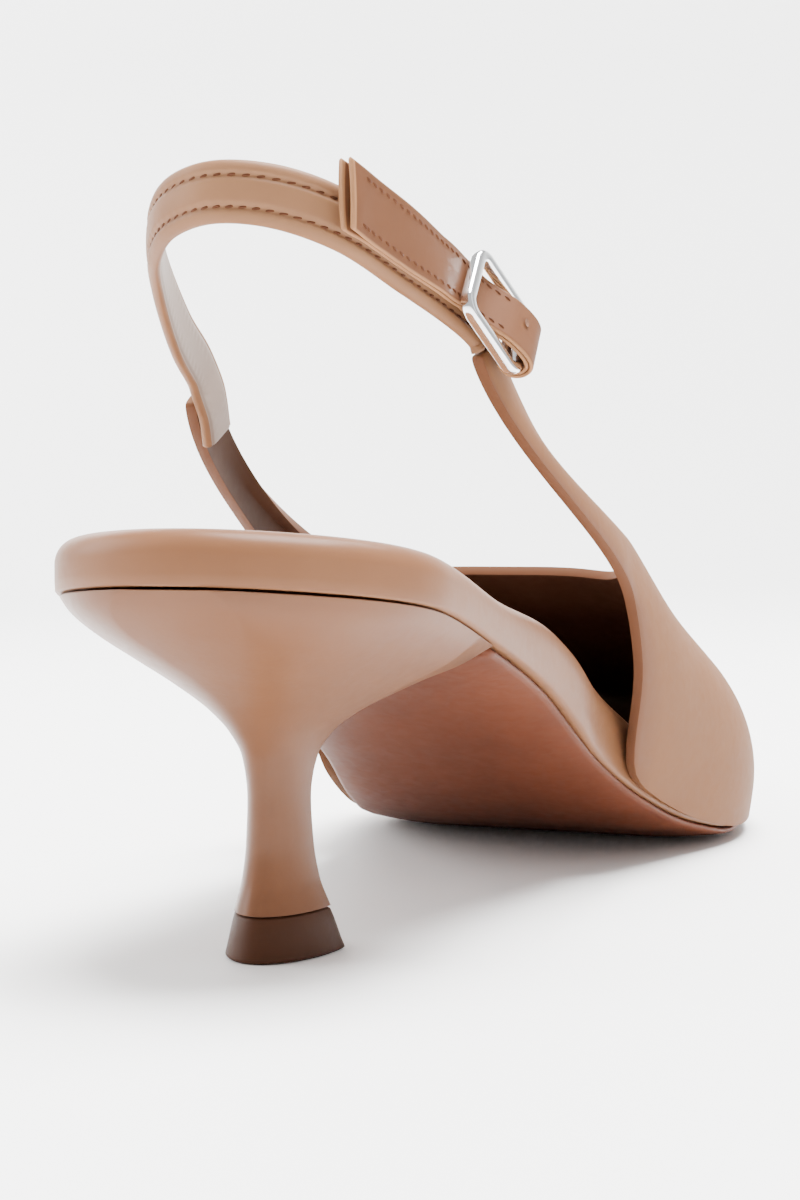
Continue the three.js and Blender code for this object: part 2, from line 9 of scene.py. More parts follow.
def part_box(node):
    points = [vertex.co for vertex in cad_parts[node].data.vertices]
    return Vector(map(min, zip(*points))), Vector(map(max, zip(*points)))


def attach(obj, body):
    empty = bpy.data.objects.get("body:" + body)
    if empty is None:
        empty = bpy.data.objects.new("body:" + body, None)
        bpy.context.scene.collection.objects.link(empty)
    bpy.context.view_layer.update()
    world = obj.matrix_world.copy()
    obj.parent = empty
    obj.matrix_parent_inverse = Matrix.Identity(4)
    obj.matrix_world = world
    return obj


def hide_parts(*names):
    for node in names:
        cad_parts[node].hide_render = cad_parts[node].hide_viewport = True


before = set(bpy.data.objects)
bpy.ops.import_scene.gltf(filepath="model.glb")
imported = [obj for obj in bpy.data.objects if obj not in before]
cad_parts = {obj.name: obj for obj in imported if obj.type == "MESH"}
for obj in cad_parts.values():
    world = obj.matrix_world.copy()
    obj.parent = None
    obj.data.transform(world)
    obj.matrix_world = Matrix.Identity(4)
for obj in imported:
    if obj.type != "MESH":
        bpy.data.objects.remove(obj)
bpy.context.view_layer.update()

# Driving dimensions of the last, the sole, the heel and the straps, in millimetres
LENGTH = 255.0
BALL_WIDTH = 80.0
SEAT_WIDTH = 58.0
WAIST_WIDTH = 55.0
HEEL_HEIGHT = 54.0
INSTEP = 54.0
SOLE_THICKNESS = 2.8
SEAT_BAND = 7.6
WAIST_BAND = 13.0
INSOLE_THICKNESS = 3.2
BAND_ROUNDING = 3.0
WALL = 1.8
LIP = 1.0
CLEARANCE = 0.3
TOP_PIECE_HEIGHT = 6.5
TOP_PIECE_WIDTH = 16.6
HEEL_REACH = 51.0
BREAST_DEPTH = 9.0
BREAST_GAP = 1.3
STRAP_WIDTH = 8.6
STRAP_THICKNESS = 2.4
STITCH_ROW = 0.25 * STRAP_WIDTH
STITCH_PITCH = 1.9
STITCH_RADIUS = 0.2
TAIL_WIDTH = 9.0
TAIL_THICKNESS = 1.4
TAIL_STITCH_INSET = 1.35
TAIL_STITCH_PITCH = 1.7
TAIL_SLIT = 0.02
BUCKLE_LENGTH = 16.0
BUCKLE_WIDTH = 14.5
BUCKLE_WIRE = 2.0
TOE_ROUNDING = 10.0
HEEL_ROUNDING = 29.0
CUT_PLACE = 0.45 * LENGTH
FLOOR_GAP = 0.15

# The photograph's camera stands behind the heel, towards the outer side
CAMERA_TURN = np.radians(22.0)
CAMERA_DIP = np.radians(1.75)
CAMERA_HEIGHT = 60.0
CAMERA_DISTANCE = 285.0
CAMERA_SLIDE = 17.3
CAMERA_ANCHOR = (0.0, 36.0)
CAMERA_LENS = 58.5

# Rows of shares, as columns: place along the last, half width, middle
OUTLINE = np.array([
    (0.0, 0.5 * SEAT_WIDTH, 0),
    (0.12, 0.5 * SEAT_WIDTH, 0),
    (0.2, 0.49 * SEAT_WIDTH, 0),
    (0.31, 0.5 * WAIST_WIDTH, 0.005 * BALL_WIDTH),
    (0.4, 0.505 * WAIST_WIDTH, 0.01 * BALL_WIDTH),
    (0.52, 0.41 * BALL_WIDTH, 0.005 * BALL_WIDTH),
    (0.66, 0.49 * BALL_WIDTH, 0),
    (0.72, 0.475 * BALL_WIDTH, -0.01 * BALL_WIDTH),
    (0.82, 0.37 * BALL_WIDTH, -0.035 * BALL_WIDTH),
    (0.92, 0.23 * BALL_WIDTH, -0.06 * BALL_WIDTH),
    (1.0, 0.125 * BALL_WIDTH, -0.08 * BALL_WIDTH),
])

# Columns: place along the last, rise as a share of the heel height
PROFILE = np.array([
    (0.0, 1.0), (0.1, 0.938), (0.2, 0.818), (0.3, 0.67), (0.4, 0.425), (0.5, 0.185),
    (0.58, 0.055), (0.65, 0.0), (0.76, 0.0), (0.9, 0.035), (1.0, 0.11),
])

# Columns: place along the last, height, extra half width, softness of the section
VAMP = np.array([
    (0.4, 1.1, 0.075, 0.55),
    (0.48, 1.0, 0.07, 0.56),
    (0.56, 0.9, 0.055, 0.59),
    (0.66, 0.79, 0.038, 0.66),
    (0.76, 0.62, 0.028, 0.73),
    (0.86, 0.465, 0.018, 0.79),
    (0.94, 0.345, 0.012, 0.82),
    (1.0, 0.25, 0.01, 0.82),
])

# Columns: place from the ridge to the sole edge, place along the last
THROAT = np.array([
    (0.0, 0.565), (0.2, 0.56), (0.38, 0.525), (0.55, 0.464), (0.7, 0.43),
    (0.833, 0.42), (0.92, 0.438), (1.0, 0.447),
])

# Columns: rise, rear, front, half width, share of the seat's own outline. Rear and front are
# shares of the heel's reach, the half width is a share of half the seat's width.
HEEL = np.array([
    (0.12, 0.512, 0.755, 0.23, 0),
    (0.2, 0.54, 0.733, 0.187, 0),
    (0.3, 0.555, 0.722, 0.162, 0),
    (0.42, 0.555, 0.72, 0.15, 0),
    (0.54, 0.534, 0.733, 0.178, 0),
    (0.62, 0.485, 0.755, 0.24, 0.02),
    (0.69, 0.42, 0.785, 0.35, 0.06),
    (0.76, 0.325, 0.83, 0.5, 0.15),
    (0.83, 0.215, 0.88, 0.66, 0.32),
    (0.9, 0.112, 0.94, 0.82, 0.58),
    (0.96, 0.042, 0.965, 0.935, 0.84),
    (1.0, 0.013, 1.0, 0.985, 1),
])

# Places in the loop are shares of half the seat's width, the length and the heel height
PATH_SCALE = np.array([0.5 * SEAT_WIDTH, LENGTH, HEEL_HEIGHT])
SLING_PATH = PATH_SCALE * np.array([
    (-0.834, 0.198, 1.707), (-0.703, 0.144, 1.852), (-0.51, 0.1, 1.926),
    (-0.276, 0.072, 1.969), (0.0, 0.06, 1.985), (0.28, 0.067, 1.969),
    (0.521, 0.09, 1.92), (0.67, 0.137, 1.833), (0.735, 0.178, 1.775),
])

# The sling's lapped end, as columns: place past the ear's end, lift to the ear's inside
LAP = ((-7.5, 2.2), (-2.0, 2.0), (4.0, 0.7))


def unit(vector):
    """Vectors along the last axis, made one long."""
    vector = np.asarray(vector, float)
    return vector / np.linalg.norm(vector, axis=-1, keepdims=True)


# Each ear's end: its middle, the way the strap runs on there, and its width's direction
OUTER_EAR = {
    "side": 1, "reach": 62.0,
    "end": PATH_SCALE * (0.85, 0.214, 1.645),
    "run": unit((-0.17, -0.42, 0.89)),
    "across": (0.08, -0.8, -0.6),
}
INNER_EAR = {
    "side": -1, "reach": 58.0,
    "end": PATH_SCALE * (-0.931, 0.243, 1.556),
    "run": unit((0.16, -0.52, 0.84)),
    "across": (-0.05, -0.74, -0.66),
}

MM = 0.001

# Where the construction's zero lies in the row's frame
HOME = np.array([
    0.5 * (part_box("top_piece")[0][0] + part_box("top_piece")[1][0]),
    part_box("footbed")[0][1],
    0.0,
])


def look_up(table, column, place):
    """Cubic through the table's rows whose slopes never overshoot: each slope is the
    harmonic mean of the straight slopes beside it."""
    keys, values = table[:, 0], table[:, column]
    place = np.clip(place, keys[0], keys[-1])
    straight = np.diff(values) / np.diff(keys)
    before, after = straight[:-1], straight[1:]
    total = np.where(before * after > 0, before + after, 1.0)
    inner = np.where(before * after > 0, 2 * before * after / total, 0.0)
    slope = np.concatenate([straight[:1], inner, straight[-1:]])
    row = np.clip(np.searchsorted(keys, place) - 1, 0, len(keys) - 2)
    span = keys[row + 1] - keys[row]
    t = (place - keys[row]) / span
    rest = 1 - t
    return (values[row] * (1 + 2 * t) * rest ** 2 + slope[row] * span * t * rest ** 2
            + values[row + 1] * (3 - 2 * t) * t ** 2 - slope[row + 1] * span * rest * t ** 2)


def smooth_step(start, end, value):
    """Zero before start, one after end, and a smooth climb between."""
    t = np.clip((value - start) / (end - start), 0, 1)
    return t * t * (3 - 2 * t)


def end_round(distance, rounding):
    """Share of the full width left near a round end, as on a circle."""
    left = 1 - np.clip(distance / rounding, 0, 1)
    return np.sqrt(1 - left * left)


def middle_line(y):
    """Place of the last's middle across, which bends inwards at the toe."""
    return look_up(OUTLINE, 2, y / LENGTH)


def half_width(y, inset, toe):
    """Half width of the outline less the inset, rounded off at the heel and the toe."""
    full = look_up(OUTLINE, 1, y / LENGTH) - inset
    return full * end_round(y, HEEL_ROUNDING) * end_round(toe - y, TOE_ROUNDING)


def bed_height(y):
    """Height of the footbed's underside: the profile's rise over the sole's thickness."""
    return SOLE_THICKNESS + (HEEL_HEIGHT - SOLE_THICKNESS) * look_up(PROFILE, 1, y / LENGTH)


def grid_faces(rows, columns, wrap=False, first=0):
    """Quads between the points of a grid that is stored row by row."""
    row, column = np.meshgrid(np.arange(rows - 1), np.arange(columns - (not wrap)), indexing="ij")
    after = (column + 1) % columns
    corners = [row * columns + column, row * columns + after,
               (row + 1) * columns + after, (row + 1) * columns + column]
    return first + np.stack([c.ravel() for c in corners], axis=1)


def add_piece(name, points, faces, node=None, material=None, close=False, edge=None,
              outward_from=None):
    """A mesh from points in construction millimetres, set in the row's frame. Points that
    fall together are joined, ends are closed where asked, and faces are turned outward. The
    edge values, where given, are kept as an attribute. An open skin is turned away from a point."""
    mesh = bpy.data.meshes.new(name)
    placed = np.asarray(points, float).reshape(-1, 3) * MM + HOME
    mesh.from_pydata(placed.tolist(), [], np.asarray(faces).tolist())
    if edge is not None:
        mesh.attributes.new("edge", "FLOAT", "POINT").data.foreach_set("value", np.ravel(edge))
    piece = bpy.data.objects.new(name, mesh)
    bpy.context.scene.collection.objects.link(piece)
    work = bmesh.new()
    work.from_mesh(mesh)
    bmesh.ops.remove_doubles(work, verts=work.verts, dist=2e-6)
    bmesh.ops.dissolve_degenerate(work, edges=work.edges, dist=1e-6)
    if close:
        bmesh.ops.holes_fill(work, edges=work.edges, sides=0)
    bmesh.ops.recalc_face_normals(work, faces=work.faces)
    work.to_mesh(mesh)
    work.free()
    mesh.shade_smooth()
    if outward_from is not None:
        normals, centres, areas = (np.empty(k * len(mesh.polygons)) for k in (3, 3, 1))
        mesh.polygons.foreach_get("normal", normals)
        mesh.polygons.foreach_get("center", centres)
        mesh.polygons.foreach_get("area", areas)
        away = centres.reshape(-1, 3) - (np.asarray(outward_from) * MM + HOME)
        if ((away * normals.reshape(-1, 3)).sum(axis=1) * areas).sum() < 0:
            mesh.flip_normals()
    if material:
        mesh.materials.append(material)
    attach(piece, "root")
    if node:
        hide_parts(node)
    return piece


def add_modifier(piece, kind, **values):
    """A modifier with the given values set on it."""
    modifier = piece.modifiers.new(kind.lower(), kind)
    for key, value in values.items():
        setattr(modifier, key, value)
    return modifier


# Materials


def colour(red, green, blue):
    """Screen values from 0 to 255 as a linear colour."""
    share = np.array([red, green, blue]) / 255.0
    linear = np.where(share <= 0.04045, share / 12.92, ((share + 0.055) / 1.055) ** 2.4)
    return (*linear.tolist(), 1.0)


def build_leather_group():
    """Fine pebbles and faint creases of smooth leather, from Object coordinates: cells for
    the pebbles, stretched noise for the creases, broad noise for the tone."""
    group = bpy.data.node_groups.new("smooth_leather", "ShaderNodeTree")
    for name, kind, value in (("Colour", "NodeSocketColor", (0.5, 0.3, 0.2, 1)),
                              ("Deep colour", "NodeSocketColor", (0.4, 0.2, 0.1, 1)),
                              ("Pebble size", "NodeSocketFloat", 1400.0),
                              ("Tone", "NodeSocketFloat", 0.35),
                              ("Gloss", "NodeSocketFloat", 0.4)):
        socket = group.interface.new_socket(name, in_out="INPUT", socket_type=kind)
        socket.default_value = value
    for name, kind in (("Colour", "NodeSocketColor"), ("Roughness", "NodeSocketFloat"),
                       ("Height", "NodeSocketFloat")):
        group.interface.new_socket(name, in_out="OUTPUT", socket_type=kind)
    nodes, links = group.nodes, group.links
    entry = nodes.new("NodeGroupInput")
    leave = nodes.new("NodeGroupOutput")
    place = nodes.new("ShaderNodeTexCoord").outputs["Object"]
    pebbles = nodes.new("ShaderNodeTexVoronoi")
    pebbles.feature = "SMOOTH_F1"
    links.new(place, pebbles.inputs["Vector"])
    links.new(entry.outputs["Pebble size"], pebbles.inputs["Scale"])
    creases = nodes.new("ShaderNodeTexNoise")
    creases.inputs["Scale"].default_value = 420.0
    creases.inputs["Detail"].default_value = 5.0
    creases.inputs["Distortion"].default_value = 0.6
    links.new(place, creases.inputs["Vector"])
    broad = nodes.new("ShaderNodeTexNoise")
    broad.inputs["Scale"].default_value = 38.0
    broad.inputs["Detail"].default_value = 3.0
    links.new(place, broad.inputs["Vector"])
    height = nodes.new("ShaderNodeMath")
    height.operation = "MULTIPLY_ADD"
    links.new(pebbles.outputs["Distance"], height.inputs[0])
    height.inputs[1].default_value = -0.45
    links.new(creases.outputs["Fac"], height.inputs[2])
    links.new(height.outputs[0], leave.inputs["Height"])
    tone = nodes.new("ShaderNodeMapRange")
    links.new(broad.outputs["Fac"], tone.inputs["Value"])
    tone.inputs["From Min"].default_value = 0.35
    tone.inputs["From Max"].default_value = 0.7
    links.new(entry.outputs["Tone"], tone.inputs["To Max"])
    mix = nodes.new("ShaderNodeMix")
    mix.data_type = "RGBA"
    links.new(tone.outputs["Result"], mix.inputs["Factor"])
    links.new(entry.outputs["Colour"], mix.inputs["A"])
    links.new(entry.outputs["Deep colour"], mix.inputs["B"])
    links.new(mix.outputs["Result"], leave.inputs["Colour"])
    rough = nodes.new("ShaderNodeMath")
    rough.operation = "MULTIPLY_ADD"
    links.new(creases.outputs["Fac"], rough.inputs[0])
    rough.inputs[1].default_value = 0.16
    links.new(entry.outputs["Gloss"], rough.inputs[2])
    links.new(rough.outputs[0], leave.inputs["Roughness"])
    return group


LEATHER_GROUP = build_leather_group()


def leather(name, light, deep, gloss=0.42, tone=0.35, depth=0.00004, coat=0.0, pebble=1400.0,
            shine=0.09, mask=None, mask_colour=None):
    """A leather finish; a mask attribute, where named, blends in the mask's colour."""
    material = bpy.data.materials.new(name)
    material.use_nodes = True
    nodes, links = material.node_tree.nodes, material.node_tree.links
    shader = nodes["Principled BSDF"]
    skin = nodes.new("ShaderNodeGroup")
    skin.node_tree = LEATHER_GROUP
    skin.inputs["Colour"].default_value = light
    skin.inputs["Deep colour"].default_value = deep
    skin.inputs["Gloss"].default_value = gloss
    skin.inputs["Tone"].default_value = tone
    skin.inputs["Pebble size"].default_value = pebble
    bump = nodes.new("ShaderNodeBump")
    bump.inputs["Strength"].default_value = 0.35
    bump.inputs["Distance"].default_value = depth
    links.new(skin.outputs["Height"], bump.inputs["Height"])
    links.new(bump.outputs["Normal"], shader.inputs["Normal"])
    links.new(skin.outputs["Roughness"], shader.inputs["Roughness"])
    shader.inputs["Coat Weight"].default_value = coat
    shader.inputs["Coat Roughness"].default_value = 0.25
    shader.inputs["Specular IOR Level"].default_value = shine
    if mask is None:
        links.new(skin.outputs["Colour"], shader.inputs["Base Color"])
        return material
    reader = nodes.new("ShaderNodeAttribute")
    reader.attribute_name = mask
    blend = nodes.new("ShaderNodeMix")
    blend.data_type = "RGBA"
    blend.inputs["B"].default_value = mask_colour
    links.new(reader.outputs["Fac"], blend.inputs["Factor"])
    links.new(skin.outputs["Colour"], blend.inputs["A"])
    links.new(blend.outputs["Result"], shader.inputs["Base Color"])
    return material


NUDE = colour(110, 73, 46)
NUDE_DEEP = colour(99, 62, 38)
RAW_EDGE = colour(146, 104, 72)
UPPER_LEATHER = leather("nude_leather", NUDE, NUDE_DEEP, gloss=0.5,
                        mask="edge", mask_colour=colour(96, 62, 43))
LINING = leather("dark_lining", colour(112, 80, 63), colour(92, 64, 50), gloss=0.55, tone=0.6)
# The upper's inside: the lining's own colour darkened into painted shade, the shade that falls
# inside the shoe and the ears
LINING_WITH_PAINTED_SHADE = leather("lining_painted_shade", colour(76, 54, 42), colour(62, 43, 33), gloss=0.5, tone=0.5)
BAND_LEATHER = leather("band_leather", colour(116, 79, 55), NUDE_DEEP, gloss=0.32, coat=0.06)
HEEL_LEATHER = leather("heel_leather", colour(104, 69, 48), colour(93, 59, 39), gloss=0.28,
                       tone=0.3, coat=0.12)
SOLE_LEATHER = leather("sole_leather", colour(92, 48, 29), colour(72, 35, 20), gloss=0.42,
                       tone=0.7, pebble=700.0, shine=0.12)
STRAP_LEATHER = leather("strap_leather", colour(129, 93, 67), NUDE_DEEP, gloss=0.36, depth=0.00007,
                        mask="edge", mask_colour=colour(139, 124, 114))
TAIL_LEATHER = leather("tail_leather", colour(99, 64, 43), colour(90, 56, 36), gloss=0.42,
                       mask="edge", mask_colour=RAW_EDGE)
TOP_PIECE_FINISH = leather("top_piece_finish", colour(68, 38, 20), colour(52, 29, 16), gloss=0.42,
                           tone=0.8, pebble=2200.0, shine=0.14)
THREAD = leather("thread", colour(84, 50, 32), colour(62, 36, 23), gloss=0.5, pebble=5000.0)


def polished_metal():
    """Chrome with faint wipe marks in its roughness."""
    material = bpy.data.materials.new("polished_metal")
    material.use_nodes = True
    nodes, links = material.node_tree.nodes, material.node_tree.links
    shader = nodes["Principled BSDF"]
    shader.inputs["Metallic"].default_value = 1.0
    place = nodes.new("ShaderNodeTexCoord")
    marks = nodes.new("ShaderNodeTexNoise")
    marks.inputs["Scale"].default_value = 900.0
    links.new(place.outputs["Object"], marks.inputs["Vector"])
    rough = nodes.new("ShaderNodeMapRange")
    rough.inputs["To Min"].default_value = 0.05
    rough.inputs["To Max"].default_value = 0.16
    links.new(marks.outputs["Fac"], rough.inputs["Value"])
    links.new(rough.outputs["Result"], shader.inputs["Roughness"])
    tint = nodes.new("ShaderNodeMix")
    tint.data_type = "RGBA"
    tint.inputs["A"].default_value = (0.78, 0.79, 0.8, 1)
    tint.inputs["B"].default_value = (0.9, 0.9, 0.9, 1)
    links.new(marks.outputs["Fac"], tint.inputs["Factor"])
    links.new(tint.outputs["Result"], shader.inputs["Base Color"])
    return material


METAL = polished_metal()


# The upper


def vamp_points(y, across, inset=0.0):
    """The vamp's skin: superellipse sections over the outline, drawn together at the nose. The
    half width is the base plus a belly that fades by the fourth power of the lean, and the
    ridge lies a little towards the inner side."""
    toe = LENGTH - inset + LIP
    reach = np.minimum(y, toe)
    place = reach / LENGTH
    turn = np.abs(across) * np.pi / 2
    nose = end_round(toe - reach, TOE_ROUNDING)
    side = BALL_WIDTH * look_up(VAMP, 2, place)
    high = (INSTEP * look_up(VAMP, 1, place) - inset) * nose
    base = look_up(OUTLINE, 1, np.minimum(place, 1)) + LIP - inset
    softness = look_up(VAMP, 3, place)
    lean = 1 - np.cos(turn) ** softness
    half = (base + side * (1 - lean ** 4)) * nose
    ridge = -0.035 * BALL_WIDTH * np.cos(turn) * nose
    x = middle_line(reach) + np.sign(across) * half * np.sin(turn) ** softness + ridge
    z = bed_height(reach) + high * np.maximum(np.cos(turn), 0) ** softness
    return np.stack([x, reach, z], axis=-1)


def hermite(start, leave, end, arrive, t):
    """A curve at t that leaves and reaches its ends in the given directions."""
    rest = 1 - t
    return ((1 + 2 * t) * rest ** 2 * start + t * rest ** 2 * leave
            + (3 - 2 * t) * t ** 2 * end - rest * t ** 2 * arrive)


def ear_points(ear, start, rows):
    """An ear: each strand runs on a cubic curve from the vamp's rear edge to the ear's end,
    where a parabola across crowns it. The rear strands leave the vamp level, the front ones
    steeply."""
    columns = len(start)
    share = np.linspace(0, 1, columns)[:, None]
    across = unit(np.array(ear["across"]) - np.dot(ear["across"], ear["run"]) * ear["run"])
    outward = np.cross(ear["run"], across) * ear["side"]
    crown = 0.5 - 1.6 * (share - 0.5) ** 2
    end = (ear["end"] + (share - 0.5) * STRAP_WIDTH * across
           + (0.5 * STRAP_THICKNESS + crown - 0.5) * outward)
    turned = share ** 2
    leave = np.concatenate([0 * share, -1 + 0.5 * turned, 0.18 + 0.62 * turned], axis=1)
    leave = leave * ear["reach"] * (1.05 - 0.4 * share)
    arrive = ear["run"] * ear["reach"] * 0.8
    t = np.linspace(0, 1, rows + 1)[1:, None, None]
    return hermite(start[None], leave[None], end[None], arrive, t)


def build_upper():
    """The vamp's grid over place and across, with an ear on each side of its rear edge. The
    skin is made finer, then given its wall and its rounded cut edge."""
    columns, rows, ear_rows, ear_first, ear_columns = 36, 26, 16, 7, 8
    across = np.linspace(-1, 1, columns + 1)[None]
    along = 1 - (1 - np.linspace(0, 1, rows + 1)[:, None]) ** 1.8
    rear = LENGTH * look_up(THROAT, 1, np.abs(across))
    skin = vamp_points(rear + (LENGTH + LIP - rear) * along, across + 0 * along)
    points = [skin.reshape(-1, 3)]
    faces = [grid_faces(rows + 1, columns + 1)]
    edge = [np.zeros((rows + 1) * (columns + 1))]
    edge[0][:columns + 1] = 1
    count = len(points[0])
    for ear in (OUTER_EAR, INNER_EAR):
        first = columns // 2 + ear["side"] * ear_first
        strand = first + ear["side"] * np.arange(ear_columns + 1)
        edge[0][strand[1:-1]] = 0
        ends = ear_points(ear, skin[0, strand], ear_rows)
        block = np.concatenate([skin[0, strand][None], ends])
        points.append(block.reshape(-1, 3))
        faces.append(grid_faces(ear_rows + 1, ear_columns + 1, first=count))
        rim = np.zeros((ear_rows + 1, ear_columns + 1))
        rim[:, [0, -1]] = 1
        edge.append(rim.ravel())
        count += block.shape[0] * block.shape[1]
    upper = add_piece("upper_skin", np.concatenate(points), np.concatenate(faces),
                      "upper", UPPER_LEATHER, edge=np.concatenate(edge),
                      outward_from=(0, 0.55 * LENGTH, 12))
    # The inner face takes the lining colour with painted shade
    upper.data.materials.append(LINING_WITH_PAINTED_SHADE)
    add_modifier(upper, "SUBSURF", levels=2, render_levels=2)
    add_modifier(upper, "SOLIDIFY", thickness=WALL * MM, offset=-1.0, material_offset=1,
                 material_offset_rim=0, use_even_offset=True)
    add_modifier(upper, "BEVEL", width=0.45 * MM, segments=2, limit_method="ANGLE",
                 angle_limit=np.radians(55))
    return upper


# The footbed, the outsole, the heel and its top piece


def bed_thickness(y):
    """Height of the band: low at the seat, high at the waist, an insole's in the vamp."""
    band = SEAT_BAND + (WAIST_BAND - SEAT_BAND) * smooth_step(0.2 * LENGTH, 0.4 * LENGTH, y)
    return band + (INSOLE_THICKNESS - band) * smooth_step(0.47 * LENGTH, 0.62 * LENGTH, y)


def build_footbed():
    """A leather wrapped board: one turn round the outline by a profile that goes up the
    band, over its rounded rim and in to a dished middle."""
    steps, toe = 360, LENGTH - WALL - CLEARANCE
    turn = np.linspace(0, 2 * np.pi, steps, endpoint=False)
    side = np.sign(np.round(np.sin(turn), 6))
    bow = np.linspace(0, np.pi / 2, 12)
    rim_in = np.concatenate([[0.5, 0.1, 0.02, 0, 0], 1 - np.cos(bow)[1:]])
    rim_up = np.concatenate([[0, 0.015, 0.06, 0.25, 0.55], 0.55 + 0.45 * np.sin(bow)[1:]])
    shrinks = np.concatenate([np.ones(len(rim_in)), [0.97, 0.9, 0.8, 0.6, 0.4, 0.2, 0]])
    rim_in = np.concatenate([rim_in, np.ones(7)])
    rim_up = np.concatenate([rim_up, np.ones(7)])
    rings = []
    for inset, up, shrink in zip(rim_in, rim_up, shrinks):
        y = toe * (1 - np.cos(turn)) / 2 + 18 * (1 - shrink) * np.cos(turn)
        tucked = smooth_step(CUT_PLACE - 22, CUT_PLACE - BAND_ROUNDING, y)
        sides = (tucked * (WALL - LIP + CLEARANCE) + smooth_step(0.6 * LENGTH, LENGTH, y) * LIP
                 + inset * BAND_ROUNDING * np.minimum(1, bed_thickness(y) / SEAT_BAND))
        half = half_width(y, sides, toe) * shrink
        z = bed_height(y) + up * bed_thickness(y) - 1.2 * (1 - shrink ** 2)
        back = inset * BAND_ROUNDING * (1 - smooth_step(0, HEEL_ROUNDING, y))
        rings.append(np.stack([middle_line(y) + side * half, y + back, z], axis=-1))
    points = np.concatenate(rings)
    faces = grid_faces(len(rings), steps, wrap=True)
    return add_piece("footbed_wrap", points, faces, "footbed", BAND_LEATHER,
                     close=True)


def build_outsole():
    """Sections across the shank from the breast to the toe: a flat tread, thinned edges. They
    stand closer towards the toe, by a quarter of a sine."""
    start, toe = HEEL_REACH - BREAST_DEPTH + BREAST_GAP, LENGTH - 0.6
    # Columns: share of the half width, inset, share of the thickness
    section = np.array([
        (-1, 0.3, 1), (-1, 0, 0.85), (-1, 0.25, 0.65), (-0.97, 0.3, 0.5), (-0.86, 0.1, 0.28),
        (-0.74, 0, 0.1), (-0.6, 0, 0.0), (-0.3, 0, 0), (0, 0, 0), (0.3, 0, 0), (0.6, 0, 0),
        (0.74, 0, 0.1), (0.86, 0.1, 0.28), (0.97, 0.3, 0.5), (1, 0.25, 0.65), (1, 0, 0.85),
        (1, 0.3, 1), (0.5, 0, 1), (0, 0, 1), (-0.5, 0, 1),
    ])
    across, inset, high = section.T[:, None]
    along = np.sin(np.pi / 2 * np.linspace(0, 1, 121))[:, None]
    bow = BREAST_DEPTH * across ** 2 * (1 - along)
    y = start + bow + (toe - start - bow) * along
    forward = smooth_step(0.4 * LENGTH, 0.6 * LENGTH, y)
    half = half_width(y, 1.6 - 0.9 * forward + inset, toe)
    bottom, top = bed_height(y) - SOLE_THICKNESS, bed_height(y) - CLEARANCE
    points = np.stack([middle_line(y) + across * half, y, bottom + high * (top - bottom)], axis=-1)
    faces = grid_faces(*points.shape[:2], wrap=True)
    return add_piece("outsole_leather", points, faces, "outsole", SOLE_LEATHER,
                     close=True)


def heel_rings(rise):
    """Heel sections at the given rises: half a superellipse at the back, a parabola bowed in
    at the breast, and the seat's own outline mixed in towards the top."""
    rear, front, half, seat = (look_up(HEEL, k, rise)[:, None] for k in (1, 2, 3, 4))
    rear, front = rear * HEEL_REACH, front * HEEL_REACH
    power = 2 / (2 + 1.2 * seat)
    t = np.linspace(-np.pi / 2, np.pi / 2, 73)[None]
    y = front - (front - rear) * np.maximum(np.cos(t), 0) ** power
    own = half * 0.5 * SEAT_WIDTH * np.abs(np.sin(t))
    along = half_width(y, 0.5, LENGTH) * half
    wide = own + (along - own) * seat
    back = np.stack([np.sign(np.round(t, 9)) * wide + middle_line(y) * seat, y], axis=-1)
    side = wide[:, -1:]
    across = np.linspace(1, -1, 26)[None, 1:-1]
    swell = (1 - seat) ** 2 * half * 0.5 * SEAT_WIDTH * 0.45
    y = front + (swell - BREAST_DEPTH * seat) * (1 - across ** 2)
    breast = np.stack([across * side + middle_line(y) * seat, y], axis=-1)
    plan = np.concatenate([back, breast], axis=1)
    settled = np.maximum(0, 2 * rise - 1)[:, None]
    level = rise[:, None] * HEEL_HEIGHT
    z = level + (bed_height(plan[..., 1]) - CLEARANCE - HEEL_HEIGHT) * settled
    return np.concatenate([plan, z[..., None]], axis=-1)


def build_heel():
    """The spool heel: its sections stacked from the top piece to the seat."""
    rise = np.concatenate([[0.12, 0.122], np.linspace(0.125, 0.99, 90), [0.997, 1.0]])
    rings = heel_rings(rise)
    cap = rings[-1].copy()
    cap[:, 1] = np.minimum(cap[:, 1], HEEL_REACH - 2 * BREAST_DEPTH)
    cap[:, 0] = middle_line(cap[:, 1])
    cap[:, 2] = bed_height(cap[:, 1]) - CLEARANCE
    points = np.concatenate([rings, cap[None]])
    faces = grid_faces(*points.shape[:2], wrap=True)
    return add_piece("heel_cover", points, faces, "heel", HEEL_LEATHER, close=True)


def build_top_piece():
    """The stem's foot: the heel's lowest section, widened in a straight line to the floor,
    with both of its edges broken."""
    seam = heel_rings(HEEL[:1, 0])[0]
    middle = 0.5 * (HEEL[0, 1] + HEEL[0, 2]) * HEEL_REACH
    flare = 0.5 * TOP_PIECE_WIDTH / (HEEL[0, 3] * 0.5 * SEAT_WIDTH)
    top = TOP_PIECE_HEIGHT - CLEARANCE
    # Columns: share of the height, height
    rows = np.array([(0.98, top), (1.0, top - 0.25), (0.75, 0.75 * top), (0.5, 0.5 * top),
                     (0.25, 0.25 * top), (0.05, 0.5), (0.02, 0.22), (0.0, 0.0)])
    wide = 1 + (flare - 1) * (1 - rows[:, 0])
    wide[0] -= 0.03
    wide[-1] -= 0.04
    x = seam[None, :, 0] * wide[:, None]
    y = middle + (seam[None, :, 1] - middle) * wide[:, None]
    z = rows[:, 1:] + 0 * x
    points = np.stack([x, y, z], axis=-1)
    faces = grid_faces(*points.shape[:2], wrap=True)
    return add_piece("top_piece_cap", points, faces, "top_piece", TOP_PIECE_FINISH,
                     close=True)


# The straps


